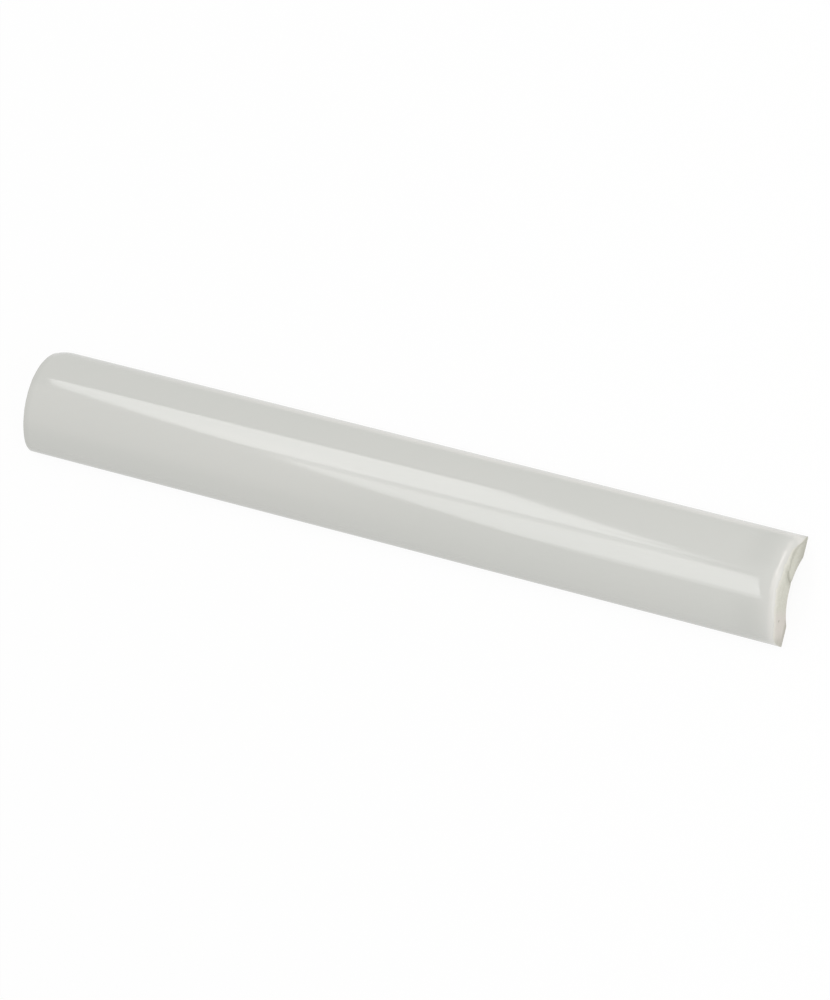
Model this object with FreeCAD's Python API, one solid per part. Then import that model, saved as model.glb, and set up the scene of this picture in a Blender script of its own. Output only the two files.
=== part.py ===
"""Glazed bullnose trim tile: one pressed and fired ceramic piece.

A long strip with a rounded glazed face, two flat lands along its back and a shallow hollow between them
that keys into the adhesive. Millimetres: X runs along the tile, Y across it and +Z out of the rounded face.
The origin is the middle of the plane that the two lands share.
"""

import FreeCAD
import Part

import math
import os

# Driving dimensions
LENGTH = 200.0  # from end face to end face
WIDTH = 25.0  # across the two long sides
HEIGHT = 9.0  # from the lands to the crown
SHOULDER_RADIUS = 6.0  # round of each long side, tangent to the crown
SIDE_HEIGHT = 0.6  # upright foot of each long side
LAND_WIDTH = 4.75  # flat strip along each side of the back
HOLLOW_DEPTH = 3.1  # from the lands to the roof of the hollow
HOLLOW_EDGE_RADIUS = 1.0  # easing where a land turns into the hollow
END_LIP_RADIUS = 0.7  # roll of the glazed face over each end
BACK_ARRIS_RADIUS = 0.3  # easing of the bare edges round the back

# Places that follow from them
HALF_LENGTH = LENGTH / 2
HALF_WIDTH = WIDTH / 2
HOLLOW_HALF_WIDTH = HALF_WIDTH - LAND_WIDTH
SHOULDER_OFFSET = HALF_WIDTH - SHOULDER_RADIUS  # each shoulder's centre, across from the middle

NEAR = 1e-6  # two places closer than this are one
QUARTER_TURN = math.pi / 2


def in_section(across, up, along=-HALF_LENGTH):
    """Point of the cross-section that stands at a place along the tile."""
    return FreeCAD.Vector(along, across, up)


def crown_radius():
    """Radius of the crown arc that is HEIGHT tall and tangent to both shoulder arcs."""
    rise = HEIGHT - SIDE_HEIGHT - SHOULDER_RADIUS
    centre_distance = (SHOULDER_OFFSET**2 + rise**2) / (2 * rise)
    return centre_distance + SHOULDER_RADIUS


def face_profile():
    """Three-centred outline of the rounded face, closed along the plane of the lands."""
    radius = crown_radius()
    blend = math.asin(SHOULDER_OFFSET / (radius - SHOULDER_RADIUS))  # where crown and shoulder meet
    shoulder_middle = (blend + QUARTER_TURN) / 2

    def on_crown(angle):
        return in_section(radius * math.sin(angle), HEIGHT - radius + radius * math.cos(angle))

    def on_shoulder(side, angle):
        across = SHOULDER_OFFSET + SHOULDER_RADIUS * math.sin(angle)
        return in_section(side * across, SIDE_HEIGHT + SHOULDER_RADIUS * math.cos(angle))

    def shoulder(side, start, end):
        points = [on_shoulder(side, angle) for angle in (start, shoulder_middle, end)]
        return Part.Arc(*points)

    def side_foot(side):
        return in_section(side * HALF_WIDTH, 0)

    outline = [
        Part.Arc(on_crown(-blend), on_crown(0), on_crown(blend)),
        shoulder(1, blend, QUARTER_TURN),
        Part.LineSegment(on_shoulder(1, QUARTER_TURN), side_foot(1)),
        Part.LineSegment(side_foot(1), side_foot(-1)),
        Part.LineSegment(side_foot(-1), on_shoulder(-1, QUARTER_TURN)),
        shoulder(-1, QUARTER_TURN, blend),
    ]
    return Part.Wire([piece.toShape() for piece in outline])


def pressed_blank():
    """Solid bar of the face profile, with the face rolled over at both ends."""
    bar = Part.Face(face_profile()).extrude(FreeCAD.Vector(LENGTH, 0, 0))
    end_edges = [edge for edge in bar.Edges if edge.BoundBox.XLength < NEAR]
    face_edges = [edge for edge in end_edges if edge.BoundBox.ZMax > NEAR]
    return bar.makeFillet(END_LIP_RADIUS, face_edges)


def back_hollow():
    """Bar that presses the hollow: an arch from land to land, run past both ends."""

    def corner(side):
        return in_section(side * HOLLOW_HALF_WIDTH, 0, -LENGTH)

    roof = in_section(0, HOLLOW_DEPTH, -LENGTH)
    outline = [Part.Arc(corner(1), roof, corner(-1)), Part.LineSegment(corner(-1), corner(1))]
    section = Part.Face(Part.Wire([piece.toShape() for piece in outline]))
    return section.extrude(FreeCAD.Vector(2 * LENGTH, 0, 0))


def land_edges(shape, across):
    """The two long edges of the back that lie at this distance from the middle."""

    def matches(edge):
        box = edge.BoundBox
        at_place = abs(abs(box.YMin) - across) < NEAR and box.YLength < NEAR
        return at_place and box.ZMax < NEAR and box.XLength > HALF_LENGTH

    return [edge for edge in shape.Edges if matches(edge)]


def bullnose_tile():
    """The whole tile: the blank with its hollow, and its bare edges eased."""
    tile = pressed_blank().cut(back_hollow())
    tile = tile.makeFillet(HOLLOW_EDGE_RADIUS, land_edges(tile, HOLLOW_HALF_WIDTH))
    # The outer land edges run tangent round each end, so this one easing goes all round the back.
    tile = tile.makeFillet(BACK_ARRIS_RADIUS, land_edges(tile, HALF_WIDTH))
    return tile.Solids[0]


def main():
    os.makedirs("parts", exist_ok=True)
    tile = bullnose_tile()
    tile.exportStep("parts/bullnose_tile.step")
    box = tile.optimalBoundingBox()
    print(f"crown radius {crown_radius():.2f} mm, volume {tile.Volume / 1000:.2f} cm3, valid {tile.isValid()}")
    print(f"size {box.XLength:.2f} x {box.YLength:.2f} x {box.ZLength:.2f} mm, {len(tile.Faces)} faces")


main()
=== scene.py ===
"""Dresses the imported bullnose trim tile: its fired glaze, its bare biscuit, a studio and the camera.

The tile is one piece, so one fine mesh of the same sizes stands for its CAD node. Metres throughout:
X runs along the tile, Y across it and +Z out of the rounded face. The two lands of the back lie on the
floor at Z 0.
"""

import logging
import math
from dataclasses import dataclass, field
from enum import Enum
from typing import Any

import bmesh
import bpy
from mathutils import Matrix, Quaternion, Vector, noise


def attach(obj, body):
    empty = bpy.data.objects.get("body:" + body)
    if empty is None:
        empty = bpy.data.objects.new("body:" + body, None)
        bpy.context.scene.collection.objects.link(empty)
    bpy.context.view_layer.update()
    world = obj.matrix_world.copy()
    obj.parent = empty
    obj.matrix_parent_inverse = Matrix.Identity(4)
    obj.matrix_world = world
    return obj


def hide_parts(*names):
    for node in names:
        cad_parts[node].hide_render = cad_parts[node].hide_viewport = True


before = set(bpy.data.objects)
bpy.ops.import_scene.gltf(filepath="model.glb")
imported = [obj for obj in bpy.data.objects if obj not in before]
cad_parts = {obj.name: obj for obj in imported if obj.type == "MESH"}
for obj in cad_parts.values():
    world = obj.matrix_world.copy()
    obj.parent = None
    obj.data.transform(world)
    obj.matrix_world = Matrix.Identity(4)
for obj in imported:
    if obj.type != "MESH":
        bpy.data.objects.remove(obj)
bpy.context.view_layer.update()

MM = 0.001
SEAM_GAP = 1e-8  # points nearer than this to the middle plane lie on it
MERGE_GAP = 1e-7  # points nearer than this to each other are one
SEED_STEPS = (1.0, 2.3, -1.7)  # how far a seed moves a ripple along each axis
PANEL_POWER = 4.0  # watts per square metre that make a light panel as bright as a white backdrop
WHITE = "#FFFFFF"
LOG = logging.getLogger("bullnose_tile")


class Finish(Enum):
    """The tile's finishes, numbered as its material slots."""

    GLAZE = 0
    BISCUIT = 1


class End(Enum):
    """The two ends of the tile, by their side of the middle along X."""

    FAR = -1
    NEAR = 1


class Seed(Enum):
    """Keeps the ripples of the tile apart: each has its own place in the noise."""

    FLUSH = 2.0
    SWELL = 3.0
    DRIP = 4.0
    STOP = 5.0
    SHOULDER = 6.0
    LUMP = 7.0
    GRIT = 9.0
    WOBBLE = 11.0


def linear(hex_colour: str) -> tuple[float, float, float, float]:
    """Turns an sRGB hex colour into a linear one.

    Args:
        hex_colour: colour as #RRGGBB.

    Returns:
        Linear red, green and blue, and an alpha of 1.
    """
    shares = [int(hex_colour[i : i + 2], 16) / 255 for i in (1, 3, 5)]
    red, green, blue = (s / 12.92 if s <= 0.04045 else ((s + 0.055) / 1.055) ** 2.4 for s in shares)
    return red, green, blue, 1.0


def rise(value: float, start: float, end: float) -> float:
    """Smooth step along a span.

    Args:
        value: where it is measured.
        start: value at which the step leaves 0.
        end: value at which it reaches 1, above or below the start.

    Returns:
        Height of the step, from 0 to 1.
    """
    share = min(1.0, max(0.0, (value - start) / (end - start)))
    return share * share * (3 - 2 * share)


def ripple(place: Vector, size: float, seed: float) -> float:
    """Smooth noise from -1 to 1.

    Args:
        place: point in metres.
        size: width of one swell in metres.
        seed: moves the pattern, so that two ripples differ.

    Returns:
        Height of the noise at the point.
    """
    return noise.noise(place / size + Vector([step * seed for step in SEED_STEPS]))


def add_node(
    tree: bpy.types.NodeTree, kind: str, inputs: dict[Any, Any] | None = None, **settings: Any
) -> bpy.types.Node:
    """Adds one node to a tree, sets it up and links it.

    Args:
        tree: node tree that gets the node.
        kind: Blender's name for this kind of node.
        inputs: for an input's name or number, its value or the output that feeds it.
        settings: the node's own properties.

    Returns:
        The new node.
    """
    node = tree.nodes.new(kind)
    for name, value in settings.items():
        setattr(node, name, value)
    for socket, value in (inputs or {}).items():
        if isinstance(value, bpy.types.NodeSocket):
            tree.links.new(value, node.inputs[socket])
        else:
            node.inputs[socket].default_value = value
    return node


def fresh_tree(owner: bpy.types.Material | bpy.types.World) -> bpy.types.NodeTree:
    """Gives a material or a world an empty node tree.

    Args:
        owner: what gets the tree.

    Returns:
        The empty tree.
    """
    owner.use_nodes = True
    owner.node_tree.nodes.clear()
    return owner.node_tree


def lay_colours(
    tree: bpy.types.NodeTree, ground: bpy.types.NodeSocket, layers: dict[str, str]
) -> bpy.types.NodeSocket:
    """Lays colours over a ground, each by a share that the mesh carries at its points.

    Args:
        tree: node tree that gets the nodes.
        ground: output with the colour below.
        layers: for each share's name, the hex colour that it brings, from the lowest layer up.

    Returns:
        Output with the colour on top.
    """
    for attribute, colour in layers.items():
        share = add_node(tree, "ShaderNodeAttribute", attribute_name=attribute).outputs["Fac"]
        inputs = {"Factor": share, "A": ground, "B": linear(colour)}
        ground = add_node(tree, "ShaderNodeMix", inputs, data_type="RGBA").outputs["Result"]
    return ground


def sweep(
    bm: bmesh.types.BMesh,
    geometry: list[Any],
    steps: int,
    turn: float = 0.0,
    centre: tuple[float, float] = (0.0, 0.0),
    shift: Vector | None = None,
) -> list[Any]:
    """Draws geometry out along an arc about an axis parallel to X, or along a straight run.

    Args:
        bm: mesh under construction.
        geometry: vertices and edges to draw out.
        steps: number of segments.
        turn: whole angle of the arc in radians.
        centre: across and up of the arc's axis.
        shift: whole straight run.

    Returns:
        The geometry at the end of the run.
    """
    step = (shift or Vector()) / steps
    made = bmesh.ops.spin(
        bm,
        geom=geometry,
        cent=Vector((0, *centre)),
        axis=Vector((1, 0, 0)),
        dvec=step,
        angle=turn,
        steps=steps,
        use_merge=False,
        use_normal_flip=False,
        use_duplicate=False,
    )
    return made["geom_last"]


@dataclass(frozen=True)
class GlazeFinish:
    """Fired gloss glaze: a glassy pale grey coat that turns whiter where it thins over an edge, with
    painted highlight and painted shade laid on it.
    """

    name: str = "fired_gloss_glaze"
    colour: str = "#CFCFCA"
    shade: str = "#CCCDC8"
    # Pale colour of glaze that runs thin, also laid on as painted highlight and sheen
    thin_and_sheen_colour: str = "#E3E1DC"
    # Painted shade: the darker grey laid on along the front foot, behind the near lip and round the far
    # rim
    painted_shade_colour: str = "#AEAFAA"
    roughness: float = 0.07
    ior: float = 1.52
    cloud_size: float = 28 * MM
    peel_size: float = 5 * MM
    peel_height: float = 0.003 * MM

    def material(self) -> bpy.types.Material:
        """Builds the glaze.

        Returns:
            Material whose gloss shows the studio sharply over a slightly clouded ground.
        """
        material = bpy.data.materials.new(self.name)
        tree = fresh_tree(material)
        place = add_node(tree, "ShaderNodeTexCoord").outputs["Object"]
        clouds = {"Vector": place, "Scale": 1 / self.cloud_size, "Detail": 2.0, "Roughness": 0.5}
        cloud = add_node(tree, "ShaderNodeTexNoise", clouds).outputs["Fac"]
        shades = {"Factor": cloud, "A": linear(self.colour), "B": linear(self.shade)}
        ground = add_node(tree, "ShaderNodeMix", shades, data_type="RGBA").outputs["Result"]
        # The pale body shows through where the glaze runs thin, and the same pale colour lays on painted
        # highlight and sheen; the darker grey is painted shade.
        coat = lay_colours(tree, ground, {"thin_and_sheen": self.thin_and_sheen_colour, "glaze_painted_shade": self.painted_shade_colour})
        # A fired glaze is never flat: this faint peel softens the edges of what it reflects.
        dimples = {"Vector": place, "Scale": 1 / self.peel_size, "Detail": 1.0}
        peel = add_node(tree, "ShaderNodeTexNoise", dimples).outputs["Fac"]
        height = {"Height": peel, "Distance": self.peel_height, "Strength": 1.0}
        bump = add_node(tree, "ShaderNodeBump", height)
        shader = add_node(
            tree,
            "ShaderNodeBsdfPrincipled",
            {
                "Base Color": coat,
                "Roughness": self.roughness,
                "IOR": self.ior,
                "Normal": bump.outputs["Normal"],
            },
        )
        add_node(tree, "ShaderNodeOutputMaterial", {"Surface": shader.outputs["BSDF"]})
        return material


@dataclass(frozen=True)
class BiscuitFinish:
    """Bare fired clay: a dry cream body with a sandy grain, with painted shade in its chips and along its
    feet.
    """

    name: str = "bare_biscuit"
    colour: str = "#D7D6CC"
    grain_colour: str = "#CDCCC0"
    flush_colour: str = "#D7D1CB"
    # Painted shade in the chips and along the feet of the ends
    painted_clay_shade_colour: str = "#B1B0A5"
    thin_and_sheen_colour: str = "#E3E1D8"
    roughness: float = 0.9
    ior: float = 1.5
    specular: float = 0.2
    grain_size: float = 0.55 * MM
    grain_range: tuple[float, float] = (0.35, 0.7)
    grit_size: float = 0.22 * MM
    grit_height: float = 0.03 * MM

    def material(self) -> bpy.types.Material:
        """Builds the biscuit.

        Returns:
            Material that scatters light evenly and breaks up into sandy grain near by.
        """
        material = bpy.data.materials.new(self.name)
        tree = fresh_tree(material)
        place = add_node(tree, "ShaderNodeTexCoord").outputs["Object"]
        # The sand of such a clay is finer, and is drawn as coarse as it needs to be to show.
        sand = {"Vector": place, "Scale": 1 / self.grain_size, "Detail": 4.0, "Roughness": 0.65}
        grain = add_node(tree, "ShaderNodeTexNoise", sand).outputs["Fac"]
        low, high = self.grain_range
        contrast = {"Value": grain, "From Min": low, "From Max": high}
        spread = add_node(tree, "ShaderNodeMapRange", contrast).outputs["Result"]
        grains = {"Factor": spread, "A": linear(self.colour), "B": linear(self.grain_colour)}
        ground = add_node(tree, "ShaderNodeMix", grains, data_type="RGBA").outputs["Result"]
        # The kiln leaves a slow pink flush in the cream clay, a last film of glaze pales it beside the
        # coat, and painted shade darkens its chips and feet.
        layers = {"flush": self.flush_colour, "thin_and_sheen": self.thin_and_sheen_colour, "chip": self.painted_clay_shade_colour}
        colour = lay_colours(tree, ground, layers)
        grits = {"Vector": place, "Scale": 1 / self.grit_size, "Detail": 3.0}
        grit = add_node(tree, "ShaderNodeTexNoise", grits).outputs["Fac"]
        height = {"Height": grit, "Distance": self.grit_height, "Strength": 1.0}
        bump = add_node(tree, "ShaderNodeBump", height)
        shader = add_node(
            tree,
            "ShaderNodeBsdfPrincipled",
            {
                "Base Color": colour,
                "Roughness": self.roughness,
                "IOR": self.ior,
                "Specular IOR Level": self.specular,
                "Normal": bump.outputs["Normal"],
            },
        )
        add_node(tree, "ShaderNodeOutputMaterial", {"Surface": shader.outputs["BSDF"]})
        return material


@dataclass(frozen=True)
class Chip:
    """A chip in the bare near end, along an arc about a point across and up the section.

    The arc runs from a starting to an ending bearing in degrees, and a radius of 0 makes a round pit.
    Its last field is the share of painted shade along the middle of the chip.
    """

    centre: tuple[float, float]
    radius: float
    start: float
    end: float
    width: float
    depth: float
    painted_shade: float

    def share(self, place: Vector) -> float:
        """Measures the chip at a point.

        Args:
            place: point on the end face.

        Returns:
            Share of the chip's depth there, from 0 beside it to 1 along its middle.
        """
        across, up = place.y - self.centre[0], place.z - self.centre[1]
        bearing = math.degrees(math.atan2(up, across))
        nearest = math.radians(min(self.end, max(self.start, bearing)))
        gap = math.hypot(across - self.radius * math.cos(nearest), up - self.radius * math.sin(nearest))
        return rise(gap, self.width / 2, 0.0)


@dataclass(frozen=True)
class BareClay:
    """How the bare clay is worn: rough, flushed to the front, with painted shade along the feet of its
    ends, chipped at the near one with painted shade in the chips.

    A span is the pair of places between which a share grows from nothing to full.
    """

    half_length: float
    end_depth: float = 1.0 * MM
    lump_depth: float = 0.015 * MM
    lump_size: float = 1.1 * MM
    grit_depth: float = 0.01 * MM
    grit_size: float = 0.45 * MM
    # Painted shade along the feet and the front toe of both ends
    shade_share: float = 0.6
    front_foot_shade: tuple[float, float] = (1.9 * MM, 0.5 * MM)
    rear_foot_shade: tuple[float, float] = (4.2 * MM, 0.4 * MM)
    toe_shade: tuple[float, float] = (-9.0 * MM, -12.4 * MM)
    toe_height: tuple[float, float] = (5.0 * MM, 2.6 * MM)
    flush_share: float = 0.8
    flush_reach: float = 10 * MM
    flush_size: float = 14 * MM
    flush_span: tuple[float, float] = (0.15, -0.45)
    chips: tuple[Chip, ...] = (
        Chip((5.7 * MM, 2.3 * MM), 4.0 * MM, 116.0, 166.0, 1.6 * MM, 0.2 * MM, 0.9),
        Chip((5.7 * MM, 2.3 * MM), 4.6 * MM, 112.0, 166.0, 2.6 * MM, 0.05 * MM, 0.4),
        Chip((5.55 * MM, 0.1 * MM), 5.6 * MM, 10.0, 98.0, 1.5 * MM, 0.12 * MM, 0.6),
        Chip((-7.0 * MM, 4.6 * MM), 0.0, 0.0, 0.0, 0.9 * MM, 0.2 * MM, 1.0),
    )

    def chipping(self, place: Vector) -> float:
        """How deep the near end is chipped at a point, in metres."""
        near = self.half_length - place.x < self.end_depth
        return max(chip.depth * chip.share(place) for chip in self.chips) if near else 0.0

    def roughness(self, place: Vector) -> float:
        """How far the rough surface lies below the smooth one at a point, in metres."""
        lumps = self.lump_depth * (1 + ripple(place, self.lump_size, Seed.LUMP.value))
        return lumps + self.grit_depth * (1 + ripple(place, self.grit_size, Seed.GRIT.value))

    def painted_shade(self, place: Vector) -> float:
        """How dark the painted shade makes an end: along its feet and its front toe, and in the chips.

        Args:
            place: point of the bare clay.

        Returns:
            Share from 0, unshaded, to 1.
        """
        if self.half_length - abs(place.x) > self.end_depth:
            return 0.0
        foot = rise(place.z, *(self.rear_foot_shade if place.y > 0 else self.front_foot_shade))
        toe = rise(place.y, *self.toe_shade) * rise(place.z, *self.toe_height)
        feet = self.shade_share * max(foot, toe)
        if place.x < 0:
            return feet
        return max(feet, *(chip.painted_shade * chip.share(place) for chip in self.chips))

    def flush(self, place: Vector) -> float:
        """How pink the kiln has flushed the clay: more to the front, in slow clouds.

        Args:
            place: point of the bare clay.

        Returns:
            Share from 0 to 1.
        """
        cloud = place.y / self.flush_reach + ripple(place, self.flush_size, Seed.FLUSH.value)
        return self.flush_share * rise(cloud, *self.flush_span)


@dataclass(frozen=True)
class GlazeFlow:
    """How the glaze ran in the kiln: how wide it rolls over an end, where it stops and thins, and where
    painted highlight and painted shade lie on it.

    A span is the pair of places between which a share grows from nothing to full.
    """

    half_length: float
    edge_radius: float
    # The roll over an end, small at the far one and wider to the rear at the near one
    lip_radius: float = 0.55 * MM
    front_lip_radius: float = 1.25 * MM
    wide_lip_radius: float = 2.0 * MM
    wide_span: tuple[float, float] = (-9 * MM, 2 * MM)
    lip_span: tuple[float, float] = (0.3 * MM, 3.2 * MM)
    # Where the glaze stops on the roll, in degrees round it
    covered_turn: float = 110.0
    stop_turn: float = 48.0
    stop_sway: float = 12.0
    stop_sway_size: float = 1.9 * MM
    patch_turn: float = 6.0
    patch_at: float = -0.7 * MM  # middle of a stretch of the near end where it stops sooner
    patch_reach: float = 3.4 * MM
    retreat_turn: float = 12.0
    retreat_span: tuple[float, float] = (5.6 * MM, 3.8 * MM)
    reach_turn: float = 20.0
    reach_span: tuple[float, float] = (8.5 * MM, 11.5 * MM)
    # How far it runs on over the end face, and the film that it leaves on the clay
    overrun: float = 0.4 * MM
    least_overrun: float = 0.2 * MM
    drip_sizes: tuple[float, float] = (2.6 * MM, 0.9 * MM)
    drip_shares: tuple[float, float] = (0.35, 0.2)
    film_width: float = 0.75 * MM
    film_share: float = 0.8
    # The painted sheen that slowly lightens the glaze towards the near end, and a short ramp of it at the
    # front of the lip
    slow_share: float = 0.22
    slow_reach: float = 7 * MM
    tip_gain: float = 0.4
    tip_span: tuple[float, float] = (5 * MM, 11 * MM)
    ramp_share: float = 0.35
    ramp_reach: float = 2.6 * MM
    foot_span: tuple[float, float] = (0.3 * MM, 2.0 * MM)
    # The white line over the near lip, partly glaze breaking white over the edge and partly a painted
    # highlight, which fades along its edge, partly a fuller bead and partly painted shade
    front_white: float = 0.35
    rear_white: float = 0.95
    white_span: tuple[float, float] = (-3.0 * MM, 1.8 * MM)
    white_lead: float = 0.35 * MM
    held_at: float = 5.2 * MM  # where the line starts nearest to the end
    held_reach: float = 3.5 * MM
    wobble: float = 0.25 * MM
    wobble_size: float = 1.8 * MM
    softness: float = 0.45 * MM
    tip_softness: float = 1.1 * MM
    corner_loss: float = 0.8
    loss_span: tuple[float, float] = (10 * MM, 11.8 * MM)
    bead_and_shade_share: float = 0.7
    bead_and_shade_span: tuple[float, float] = (0.9, 0.35)
    # The pale line along the rear shoulder, partly thin glaze and partly a painted reflection of the
    # white surroundings
    shoulder_share: float = 0.6
    shoulder_top: tuple[float, float] = (4.3 * MM, 3.2 * MM)
    shoulder_foot: tuple[float, float] = (0.9 * MM, 2.7 * MM)
    shoulder_run: tuple[float, float] = (-95 * MM, -20 * MM)
    shoulder_sway: float = 0.4
    shoulder_sway_size: float = 16 * MM
    # The slightly lighter tone over the far half of the crown
    crown_share: float = 0.14
    crown_rear: tuple[float, float] = (4.5 * MM, 2.5 * MM)
    crown_front: tuple[float, float] = (-8.5 * MM, -4.5 * MM)
    crown_run: tuple[float, float] = (15 * MM, -35 * MM)
    # Painted shade: a darker grey along the front foot, behind the near lip and round the far rim
    foot_shade_share: float = 0.55
    foot_shade_span: tuple[float, float] = (4.6 * MM, 1.2 * MM)
    foot_shade_fade: tuple[float, float] = (0.5 * MM, 8 * MM)
    near_shade_share: float = 0.12
    near_shade_start: tuple[float, float] = (13 * MM, 7 * MM)
    near_shade_stop: tuple[float, float] = (1.5 * MM, 4.5 * MM)
    near_shade_sides: tuple[float, float] = (2 * MM, 6 * MM)
    rim_shade_share: float = 0.25
    rim_shade_width: float = 1.2 * MM

    def lip_share(self, place: Vector) -> float:
        """How far the lip has grown above the foot, from 0 at the foot to 1."""
        return rise(place.z, *self.lip_span)

    def lip_at(self, end: End, place: Vector) -> float:
        """Radius of the roll over an end: wider to the rear at the near end, and small at the far end.

        Args:
            end: which end it is.
            place: point on the section.

        Returns:
            Radius in metres.
        """
        wide = rise(place.y, *self.wide_span)
        near = self.front_lip_radius + (self.wide_lip_radius - self.front_lip_radius) * wide
        full = near if end is End.NEAR else self.lip_radius
        return self.edge_radius + (full - self.edge_radius) * self.lip_share(place)

    def turn_at(self, end: End, place: Vector) -> float:
        """Angle round the roll at which the glaze stops: less at the front foot, more at the rear tip.

        Args:
            end: which end it is.
            place: point on the section.

        Returns:
            Angle in radians, past a right angle where the glaze runs on over the end face.
        """
        if end is End.FAR:
            return math.radians(self.covered_turn)
        patch = rise(abs(place.y - self.patch_at), self.patch_reach, 0.0)
        sway = self.stop_sway * ripple(place, self.stop_sway_size, Seed.STOP.value)
        retreat = rise(place.z, *self.retreat_span) if place.y < 0 else 0.0
        reach = rise(place.y, *self.reach_span)
        turn = self.stop_turn + sway - self.patch_turn * patch
        return math.radians(turn - self.retreat_turn * retreat + self.reach_turn * reach)

    def overrun_at(self, end: End, place: Vector) -> float:
        """How far the glaze runs down over an end below its roll.

        Args:
            end: which end it is.
            place: point on the rim of the face.

        Returns:
            Length of the run in metres.
        """
        drips = 1.0
        for step, (size, share) in enumerate(zip(self.drip_sizes, self.drip_shares)):
            drips += share * ripple(place, size, Seed.DRIP.value * end.value + step)
        covered = rise(abs(place.y - self.patch_at), 0.0, self.patch_reach)
        return max(self.least_overrun, self.overrun * drips * covered)

    def film_at(self, past: float) -> float:
        """How much of a film the glaze leaves on the clay at a distance past its edge, from 0 to 1."""
        return self.film_share * rise(past, self.film_width, 0.0)

    def thinning_and_sheen(self, place: Vector) -> float:
        """How pale the glaze is, from thin glaze and painted highlight: at the near end, along the rear
        shoulder and over the far crown.

        Args:
            place: point of the glazed face.

        Returns:
            Share from 0, full coat, to 1, as pale as the body showing through.
        """
        near, crown = self._near_thinning_and_sheen(place), self._crown_paling(place)
        return min(1.0, near + crown + self._shoulder_thinning_and_sheen(place))

    def _near_thinning_and_sheen(self, place: Vector) -> float:
        """How pale the glaze is towards the near end and over its lip, partly thin glaze and partly
        painted highlight and sheen.

        Args:
            place: point of the glazed face.

        Returns:
            Share from 0 to 1.
        """
        inside = self.half_length - place.x
        radius = self.lip_at(End.NEAR, place)
        rear = rise(place.y, *self.white_span)
        tip = rise(place.y, *self.tip_span)
        lead = self.white_lead * rise(abs(place.y - self.held_at), 0.0, self.held_reach)
        start = radius + lead + self.wobble * ripple(place, self.wobble_size, Seed.WOBBLE.value)
        soft = self.softness + self.tip_softness * tip
        bead_and_shade = self.bead_and_shade_share * rise(inside / radius, *self.bead_and_shade_span)
        white = self.front_white + (self.rear_white - self.front_white) * rear
        white *= 1 - self.corner_loss * rise(place.y, *self.loss_span)
        lip = white * (1 - bead_and_shade) * rise(inside, start, start - soft)
        # Painted sheen: a slow lightening towards the near end, stronger at the rear tip, and a short
        # ramp at the front
        slow = self.slow_share * (1 + self.tip_gain * tip) * rise(inside, self.slow_reach, 0.0)
        slow += self.ramp_share * (1 - rear) * rise(inside, self.ramp_reach, 0.0)
        return (slow + lip * (1 - slow)) * rise(place.z, *self.foot_span)

    def _crown_paling(self, place: Vector) -> float:
        """How much lighter the glaze is over the far half of the crown, from 0 to 1."""
        crown = rise(place.y, *self.crown_rear) * rise(place.y, *self.crown_front)
        return self.crown_share * crown * rise(place.x, *self.crown_run)

    def _shoulder_thinning_and_sheen(self, place: Vector) -> float:
        """How pale the glaze is along the rear shoulder, partly thin glaze and partly a painted
        reflection.

        Args:
            place: point of the glazed face.

        Returns:
            Share from 0 to 1.
        """
        if place.y <= 0:
            return 0.0
        sway = 1 + self.shoulder_sway * ripple(place, self.shoulder_sway_size, Seed.SHOULDER.value)
        turn = rise(place.z, *self.shoulder_top) * rise(place.z, *self.shoulder_foot)
        return self.shoulder_share * sway * turn * rise(place.x, *self.shoulder_run)

    def painted_shading(self, place: Vector) -> float:
        """How much painted shade darkens the glaze: along the front foot, behind the near lip and round
        the far rim.

        Args:
            place: point of the glazed face.

        Returns:
            Share from 0, unshaded, to 1.
        """
        inside = self.half_length - place.x
        front = self.foot_shade_share * rise(place.z, *self.foot_shade_span) if place.y < 0 else 0.0
        front *= rise(inside, *self.foot_shade_fade)
        rim = self.rim_shade_share * rise(self.half_length + place.x, self.rim_shade_width, 0.0)
        near = rise(inside, *self.near_shade_start) * rise(inside, *self.near_shade_stop)
        return max(front, rim, self.near_shade_share * near * rise(abs(place.y), *self.near_shade_sides))


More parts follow.
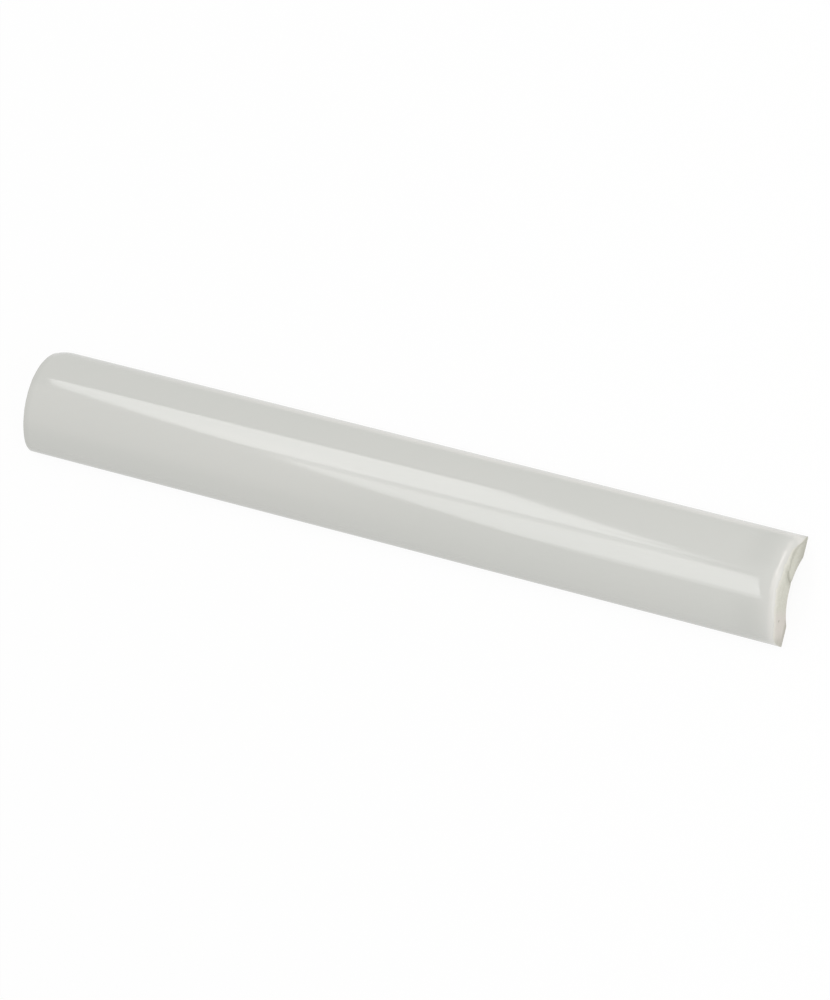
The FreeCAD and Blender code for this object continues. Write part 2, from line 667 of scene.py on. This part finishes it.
@dataclass
class BullnoseTile:
    """The pressed tile: a three-centred glazed face, rolled ends, two flat lands and a hollow back."""

    name: str = "glazed_tile"
    node: str = "bullnose_tile"
    # The section and its edges
    length: float = 200 * MM
    width: float = 25 * MM
    height: float = 9 * MM
    shoulder_radius: float = 6 * MM
    side_height: float = 0.6 * MM
    land_width: float = 4.75 * MM
    hollow_depth: float = 3.1 * MM
    hollow_edge_radius: float = 1.0 * MM
    arris_radius: float = 0.3 * MM
    end_arris_radius: float = 0.08 * MM
    biscuit_recess: float = 0.03 * MM
    # How the ends settled: a falling crown at both, and an eased rear corner at the far one
    crown_fall: float = 0.55 * MM
    crown_fall_length: float = 5.1 * MM
    far_fall: float = 0.14 * MM
    far_fall_length: float = 6.2 * MM
    crown_foot: float = 5 * MM
    fall_power: float = 2.0
    corner_fall: float = 0.9 * MM
    corner_length: float = 4.6 * MM
    corner_inner: float = 7 * MM
    corner_draw: float = 0.6 * MM
    corner_draw_inner: float = 4.5 * MM
    corner_power: float = 1.5
    # The slow swells of the glaze, and how it steps down to the clay of an end
    swell_height: float = 0.014 * MM
    swell_size: float = 26 * MM
    swell_share: float = 0.5
    most_overrun: float = 0.6
    glaze_rise: float = 0.4
    # The mesh: its finer stretch and its roll at each end, and its steps along each stroke
    fine_length: float = 8 * MM
    roll_length: float = 2.0 * MM
    crown_steps: int = 50
    shoulder_steps: int = 24
    hollow_steps: int = 40
    edge_steps: int = 5
    land_steps: int = 25
    arris_steps: int = 5
    middle_steps: int = 120
    fine_steps: int = 16
    roll_steps: int = 14
    bare_rows: int = 36
    glaze_rows: int = 6
    flow: GlazeFlow = field(init=False)
    clay: BareClay = field(init=False)
    # Each point's place in the section, and the shares that the materials read
    column: bmesh.types.BMLayerItem = field(init=False)
    back: bmesh.types.BMLayerItem = field(init=False)
    bare: bmesh.types.BMLayerItem = field(init=False)
    thin_and_sheen: bmesh.types.BMLayerItem = field(init=False)
    chip: bmesh.types.BMLayerItem = field(init=False)
    glaze_painted_shade: bmesh.types.BMLayerItem = field(init=False)
    flush: bmesh.types.BMLayerItem = field(init=False)

    def __post_init__(self) -> None:
        """Fits the glaze's flow and the clay's wear to the tile's length."""
        self.flow = GlazeFlow(self.length / 2, self.end_arris_radius)
        self.clay = BareClay(self.length / 2)

    def build(self) -> bpy.types.Object:
        """Makes the whole tile.

        Returns:
            The tile's object, at the origin, dressed and riding on its body.
        """
        bm = bmesh.new()
        self.column = bm.verts.layers.int.new("column")
        self.back = bm.verts.layers.int.new("back")
        self.bare = bm.verts.layers.int.new("bare")
        self.thin_and_sheen = bm.verts.layers.float.new("thin_and_sheen")
        self.chip = bm.verts.layers.float.new("chip")
        self.glaze_painted_shade = bm.verts.layers.float.new("glaze_painted_shade")
        self.flush = bm.verts.layers.float.new("flush")
        self._draw_section(bm)
        rings = self._pull_along(bm)
        bmesh.ops.recalc_face_normals(bm, faces=bm.faces[:])
        for end, ring in rings.items():
            self._close_end(bm, end, ring)
        bmesh.ops.recalc_face_normals(bm, faces=bm.faces[:])
        self._shape_relief(bm)
        self._settle_ends(bm)
        for face in bm.faces:
            face.smooth = True
            bare = any(vert[self.bare] for vert in face.verts)
            face.material_index = (Finish.BISCUIT if bare else Finish.GLAZE).value
        for layer in ("column", "back", "bare"):
            bm.verts.layers.int.remove(bm.verts.layers.int[layer])
        mesh = bpy.data.meshes.new(self.name)
        bm.to_mesh(mesh)
        bm.free()
        tile = bpy.data.objects.new(self.name, mesh)
        bpy.context.scene.collection.objects.link(tile)
        return self._dress(tile)

    def _dress(self, tile: bpy.types.Object) -> bpy.types.Object:
        """Gives the tile its finishes and its place in the frame.

        Args:
            tile: the tile's object.

        Returns:
            The same object.
        """
        tile.data.materials.append(GlazeFinish().material())
        tile.data.materials.append(BiscuitFinish().material())
        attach(tile, "root")
        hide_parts(self.node)
        return tile

    def _draw_section(self, bm: bmesh.types.BMesh) -> None:
        """Draws the outline of the section, half of it stroke by stroke and the rest by mirror.

        Args:
            bm: mesh under construction, empty so far.
        """
        half = self.width / 2
        shoulder_at = half - self.shoulder_radius
        crown_rise = self.height - self.side_height - self.shoulder_radius
        crown = (shoulder_at**2 + crown_rise**2) / (2 * crown_rise) + self.shoulder_radius
        blend = math.asin(shoulder_at / (crown - self.shoulder_radius))
        hollow_half = half - self.land_width
        hollow = (hollow_half**2 + self.hollow_depth**2) / (2 * self.hollow_depth)
        hollow_up = self.hollow_depth - hollow
        edge = self.hollow_edge_radius
        edge_at = math.sqrt((hollow + edge) ** 2 - (edge - hollow_up) ** 2)
        edge_turn = math.asin(edge_at / (hollow + edge))
        arris = self.arris_radius
        start = -self.length / 2 + self.fine_length

        top = bmesh.ops.create_vert(bm, co=(start, 0, self.height))["vert"]
        face = sweep(bm, top, self.crown_steps, -blend, (0, self.height - crown))
        face = sweep(bm, face, self.shoulder_steps, blend - math.pi / 2, (shoulder_at, self.side_height))
        foot = sweep(bm, face, 1, shift=Vector((0, 0, arris - self.side_height)))
        for place, vert in enumerate(bm.verts):
            vert[self.column] = place
        drawn = len(bm.verts)
        land = sweep(bm, foot, self.arris_steps, -math.pi / 2, (half - arris, arris))
        land = sweep(bm, land, self.land_steps, shift=Vector((0, edge_at - half + arris, 0)))
        land = sweep(bm, land, self.edge_steps, -edge_turn, (edge_at, edge))
        sweep(bm, land, self.hollow_steps, edge_turn, (0, hollow_up))
        for place, vert in enumerate(bm.verts[:][drawn:], start=1):
            vert[self.column] = drawn - 1 - place
            vert[self.back] = 1
            vert[self.bare] = 1
        outline = bm.verts[:] + bm.edges[:]
        bmesh.ops.mirror(bm, geom=outline, matrix=Matrix(), merge_dist=SEAM_GAP, axis="Y")
        for vert in bm.verts:
            if vert.co.y < -SEAM_GAP:
                vert[self.column] = -vert[self.column]

    def _pull_along(self, bm: bmesh.types.BMesh) -> dict[End, list[bmesh.types.BMEdge]]:
        """Pulls the section along the tile, in short steps near the ends and longer ones between.

        Args:
            bm: mesh that holds the section.

        Returns:
            The ring of edges left open at each end.
        """
        first = bm.edges[:]
        run = self.fine_length - self.roll_length
        middle = self.length - 2 * self.fine_length
        near = sweep(bm, bm.verts[:] + first, self.middle_steps, shift=Vector((middle, 0, 0)))
        near = sweep(bm, near, self.fine_steps, shift=Vector((run, 0, 0)))
        opened = dict.fromkeys(vert for edge in first for vert in edge.verts)
        far = sweep(bm, list(opened) + first, self.fine_steps, shift=Vector((-run, 0, 0)))
        rings: dict[End, list[bmesh.types.BMEdge]] = {}
        for end, ring in ((End.NEAR, near), (End.FAR, far)):
            rings[end] = [part for part in ring if isinstance(part, bmesh.types.BMEdge)]
        return rings

    def _close_end(self, bm: bmesh.types.BMesh, end: End, ring: list[bmesh.types.BMEdge]) -> None:
        """Rolls the section over one end and fills the end with rows of faces from the back to the face.

        Args:
            bm: mesh under construction.
            end: which end it is.
            ring: open edges of the section at that end.
        """
        bm.normal_update()
        verts = {vert for edge in ring for vert in edge.verts}
        starts = {self._key(vert): (vert.co.copy(), vert.normal.copy()) for vert in verts}
        flip = self._outward(starts)
        for step in range(1, self.roll_steps + 1):
            angle = step / self.roll_steps * math.pi / 2
            ring = self._extend(bm, ring)
            for vert in {vert for edge in ring for vert in edge.verts}:
                start, normal = starts[self._key(vert)]
                radius = self.end_arris_radius
                reach = self.length / 2 - self.biscuit_recess
                if not vert[self.back]:
                    radius = self.flow.lip_at(end, start)
                    reach += self.biscuit_recess * self.flow.lip_share(start)
                    past = angle - self.flow.turn_at(end, start)
                    vert[self.bare] = int(past > 0)
                    vert[self.thin_and_sheen] = self.flow.film_at(past * radius)
                along = reach - radius + radius * math.sin(angle)
                inward = normal * flip * radius * (1 - math.cos(angle))
                vert.co = Vector((end.value * along, start.y, start.z)) - inward
        rim = {self._key(vert): vert for edge in ring for vert in edge.verts}
        self._fill_end(bm, end, ring, rim)

    def _fill_end(
        self,
        bm: bmesh.types.BMesh,
        end: End,
        ring: list[bmesh.types.BMEdge],
        rim: dict[tuple[int, int], bmesh.types.BMVert],
    ) -> None:
        """Fills one end, bare below the glaze's edge and glazed above it.

        Args:
            bm: mesh under construction.
            end: which end it is.
            ring: last ring of the roll.
            rim: that ring's vertices by side and column.
        """
        last = max(column for _, column in rim)
        rail = []
        for edge in ring:
            if all(vert[self.back] or abs(vert[self.column]) == last for vert in edge.verts):
                rail.append(edge)
        rows = self.bare_rows + self.glaze_rows
        for row in range(1, rows + 1):
            rail = self._extend(bm, rail)
            for vert in {vert for edge in rail for vert in edge.verts}:
                column = vert[self.column]
                upper = rim[0, column].co
                lower = rim.get((1, column), rim[0, column]).co
                depth = (upper - lower).length
                run = self.flow.overrun_at(end, upper)
                edge_at = 1 - self.most_overrun if run > self.most_overrun * depth else 1 - run / depth
                if row <= self.bare_rows:
                    share = edge_at * row / self.bare_rows
                    proud = 0.0
                else:
                    past = (row - self.bare_rows) / self.glaze_rows
                    share = edge_at + (1 - edge_at) * past
                    proud = math.sin(min(1.0, past / self.glaze_rise) * math.pi / 2)
                sunk = end.value * (self.length / 2 - self.biscuit_recess)
                vert.co = lower.lerp(upper, share)
                vert.co.x = sunk + (upper.x - sunk) * proud
                bare_roll = rim[0, column][self.bare]
                below = (edge_at - share) * depth
                vert[self.bare] = int(row < self.bare_rows or bare_roll)
                vert[self.thin_and_sheen] = 0.0 if bare_roll else self.flow.film_at(below)
        bmesh.ops.remove_doubles(bm, verts=bm.verts[:], dist=MERGE_GAP)

    def _shape_relief(self, bm: bmesh.types.BMesh) -> None:
        """Gives the glaze its slow swells, its pale share of thin glaze and painted highlight and its
        painted shade, and the biscuit its rough, chipped surface, its flush and its painted shade.

        Args:
            bm: the closed tile.
        """
        bm.normal_update()
        for vert, normal in [(vert, vert.normal.copy()) for vert in bm.verts]:
            place = vert.co.copy()
            if vert[self.bare]:
                # The clay's chip share is painted shade, in its chips and along its feet.
                vert[self.chip] = self.clay.painted_shade(place)
                vert[self.flush] = self.clay.flush(place)
                vert.co -= normal * self.clay.roughness(place)
                vert.co.x -= self.clay.chipping(place)
            else:
                vert[self.thin_and_sheen] = self.flow.thinning_and_sheen(place)
                vert[self.glaze_painted_shade] = self.flow.painted_shading(place)
                wave = ripple(place, self.swell_size, Seed.SWELL.value)
                swell = self.swell_height * (1 + self.swell_share * wave)
                vert.co -= Vector((0, normal.y, normal.z)) * swell

    def _settle_ends(self, bm: bmesh.types.BMesh) -> None:
        """Lets the crown fall away to both ends and eases the rear corner of the far end.

        Args:
            bm: the closed tile.
        """
        half, side = self.length / 2, self.width / 2
        for vert in bm.verts:
            place = vert.co
            from_near, from_far = half - place.x, half + place.x
            near = max(0.0, 1 - from_near / self.crown_fall_length) ** self.fall_power
            far = max(0.0, 1 - from_far / self.far_fall_length) ** self.fall_power
            fall = self.crown_fall * near + self.far_fall * far
            place.z -= fall * rise(place.z, self.crown_foot, self.height)
            eased = max(0.0, 1 - from_far / self.corner_length) ** self.corner_power
            drawn = max(0.0, (place.y - self.corner_draw_inner) / (side - self.corner_draw_inner))
            place.y -= self.corner_fall * eased * rise(place.y, self.corner_inner, side)
            place.x += self.corner_draw * eased * drawn

    def _key(self, vert: bmesh.types.BMVert) -> tuple[int, int]:
        """Side and column of the section that a vertex belongs to."""
        return vert[self.back], vert[self.column]

    @staticmethod
    def _extend(bm: bmesh.types.BMesh, edges: list[bmesh.types.BMEdge]) -> list[bmesh.types.BMEdge]:
        """Extrudes open edges.

        Args:
            bm: mesh under construction.
            edges: open edges.

        Returns:
            The new outer edges.
        """
        made = bmesh.ops.extrude_edge_only(bm, edges=edges)["geom"]
        fresh = {part for part in made if isinstance(part, bmesh.types.BMVert)}
        new_edges = [part for part in made if isinstance(part, bmesh.types.BMEdge)]
        return [edge for edge in new_edges if set(edge.verts) <= fresh]

    @staticmethod
    def _outward(starts: dict[tuple[int, int], tuple[Vector, Vector]]) -> float:
        """1 if the crown's normal points up, and -1 if the open shell is inside out."""
        return 1.0 if starts[0, 0][1].z > 0 else -1.0


@dataclass(frozen=True)
class Softbox:
    """A flat lit panel, with its turn in degrees and its brightness beside a white backdrop of 1."""

    name: str
    centre: tuple[float, float, float]
    turn: tuple[float, float, float]
    width: float
    height: float
    brightness: float

    def build(self) -> bpy.types.Object:
        """Hangs the softbox.

        Returns:
            The light, which shows in reflections and not to the camera.
        """
        light = bpy.data.lights.new(self.name, "AREA")
        light.shape = "RECTANGLE"
        light.size = self.width
        light.size_y = self.height
        light.energy = PANEL_POWER * self.width * self.height * self.brightness
        panel = bpy.data.objects.new(self.name, light)
        panel.location = self.centre
        panel.rotation_euler = [math.radians(angle) for angle in self.turn]
        panel.visible_camera = False
        bpy.context.scene.collection.objects.link(panel)
        return panel


@dataclass
class Studio:
    """A white floor and surroundings, strip lights overhead and fills by the near end."""

    ambient: float = 0.645
    floor_size: float = 6.0
    floor_drop: float = 0.02 * MM
    paper_colour: str = "#FAFAF9"
    shadow_share: float = 0.08

    def build(self) -> None:
        """Sets up the surroundings, the floor and the softboxes."""
        scene = bpy.context.scene
        scene.view_settings.view_transform = "Standard"
        scene.world = self._surroundings()
        floor = self._floor()
        LOG.info("floor %s", floor.name)
        for softbox in self._softboxes():
            LOG.info("light %s", softbox.build().name)

    def _softboxes(self) -> list[Softbox]:
        """Sets out the lights.

        Returns:
            Two strips overhead, which the crown mirrors, and two fills by the near end. The upper strip
            has an edge panel and a dimmer tip, the lower one a dimmer rim, and a dim seam lies between.
        """
        upper_turn, lower_turn = (-7.25, -1.87, 22.85), (9.98, 4.48, 17.36)
        return [
            Softbox("upper_strip", (-0.6314, 0.5065, 0.9585), upper_turn, 0.2334, 0.6214, 2.6),
            Softbox("upper_edge", (-0.5316, 0.6135, 0.9552), upper_turn, 0.0333, 0.5007, 2.6),
            Softbox("upper_tip", (-0.4151, 0.3282, 0.9943), upper_turn, 0.029, 0.1207, 1.4),
            Softbox("lower_strip", (-0.4307, -0.1179, 0.9985), lower_turn, 0.2645, 0.4845, 2.2),
            Softbox("lower_rim", (-0.3513, -0.3849, 0.9496), lower_turn, 0.2645, 0.081, 1.0),
            Softbox("seam", (-0.5508, 0.1765, 1.1091), lower_turn, 0.248, 0.134, 1.2),
            Softbox("rear_fill", (0.193, 0.383, 0.523), (-36.1, 10.2, 0.0), 0.18, 0.42, 1.7),
            Softbox("end_fill", (0.42, -0.05, 0.284), (6.75, 49.2, 0.0), 0.3, 0.45, 0.9),
        ]

    def _surroundings(self) -> bpy.types.World:
        """Makes the white surroundings.

        Returns:
            World that looks white, also in reflections, and lights the tile at a plain level.
        """
        world = bpy.data.worlds.new("white_studio")
        tree = fresh_tree(world)
        lit = {"Color": linear(WHITE), "Strength": self.ambient}
        light = add_node(tree, "ShaderNodeBackground", lit).outputs[0]
        shown = {"Color": linear(WHITE), "Strength": 1.0}
        backdrop = add_node(tree, "ShaderNodeBackground", shown).outputs[0]
        mix = add_node(tree, "ShaderNodeMixShader", {0: self._seen(tree), 1: light, 2: backdrop})
        add_node(tree, "ShaderNodeOutputWorld", {"Surface": mix.outputs["Shader"]})
        return world

    def _floor(self) -> bpy.types.Object:
        """Lays the floor.

        Returns:
            Pale floor that looks white and keeps a faint shadow of the tile.
        """
        bm = bmesh.new()
        bmesh.ops.create_grid(bm, x_segments=1, y_segments=1, size=self.floor_size / 2)
        bmesh.ops.translate(bm, verts=bm.verts[:], vec=Vector((0, 0, -self.floor_drop)))
        mesh = bpy.data.meshes.new("floor")
        bm.to_mesh(mesh)
        bm.free()
        material = bpy.data.materials.new("matt_white_paper")
        tree = fresh_tree(material)
        lit = {0: self._seen(tree), 1: 1 - self.shadow_share}
        share = add_node(tree, "ShaderNodeMath", lit, operation="MULTIPLY").outputs[0]
        paper = add_node(tree, "ShaderNodeBsdfDiffuse", {"Color": linear(self.paper_colour)}).outputs[0]
        shown = {"Color": linear(WHITE), "Strength": 1.0}
        glow = add_node(tree, "ShaderNodeEmission", shown).outputs[0]
        mix = add_node(tree, "ShaderNodeMixShader", {0: share, 1: paper, 2: glow})
        add_node(tree, "ShaderNodeOutputMaterial", {"Surface": mix.outputs["Shader"]})
        mesh.materials.append(material)
        floor = bpy.data.objects.new("floor", mesh)
        bpy.context.scene.collection.objects.link(floor)
        return floor

    @staticmethod
    def _seen(tree: bpy.types.NodeTree) -> bpy.types.NodeSocket:
        """Finds the rays that see a surface as a backdrop.

        Args:
            tree: node tree of the backdrop.

        Returns:
            Output that is 1 for the camera's rays and for gloss and glass, and 0 for light.
        """
        path = add_node(tree, "ShaderNodeLightPath").outputs
        mirrored = {0: path["Is Glossy Ray"], 1: path["Is Transmission Ray"]}
        shiny = add_node(tree, "ShaderNodeMath", mirrored, operation="MAXIMUM").outputs[0]
        either = {0: path["Is Camera Ray"], 1: shiny}
        return add_node(tree, "ShaderNodeMath", either, operation="MAXIMUM").outputs[0]


@dataclass(frozen=True)
class PhotoCamera:
    """The photograph's viewpoint: high over the tile, with its near end to the lower right."""

    aim: tuple[float, float, float] = (5.976 * MM, -0.993 * MM, 5.839 * MM)
    distance: float = 1172.8 * MM
    azimuth: float = 92.747
    elevation: float = 61.911
    roll: float = -78.748
    lens: float = 186.25

    def build(self) -> bpy.types.Object:
        """Sets up the scene's camera.

        Returns:
            The camera.
        """
        around, above = math.radians(self.azimuth), math.radians(self.elevation)
        level = math.cos(above)
        back = Vector((math.sin(around) * level, -math.cos(around) * level, math.sin(above)))
        camera = bpy.data.objects.new("camera", bpy.data.cameras.new("camera"))
        camera.data.lens = self.lens
        camera.rotation_mode = "QUATERNION"
        camera.location = Vector(self.aim) + back * self.distance
        roll = Quaternion((0, 0, 1), math.radians(self.roll))
        camera.rotation_quaternion = (-back).to_track_quat("-Z", "Y") @ roll
        bpy.context.scene.collection.objects.link(camera)
        bpy.context.scene.camera = camera
        return camera


def main() -> None:
    """Builds the tile, the studio and the camera."""
    logging.basicConfig(level=logging.INFO, format="%(message)s")
    tile = BullnoseTile().build()
    Studio().build()
    LOG.info("camera %s", PhotoCamera().build().name)


if __name__ == "__main__":
    main()
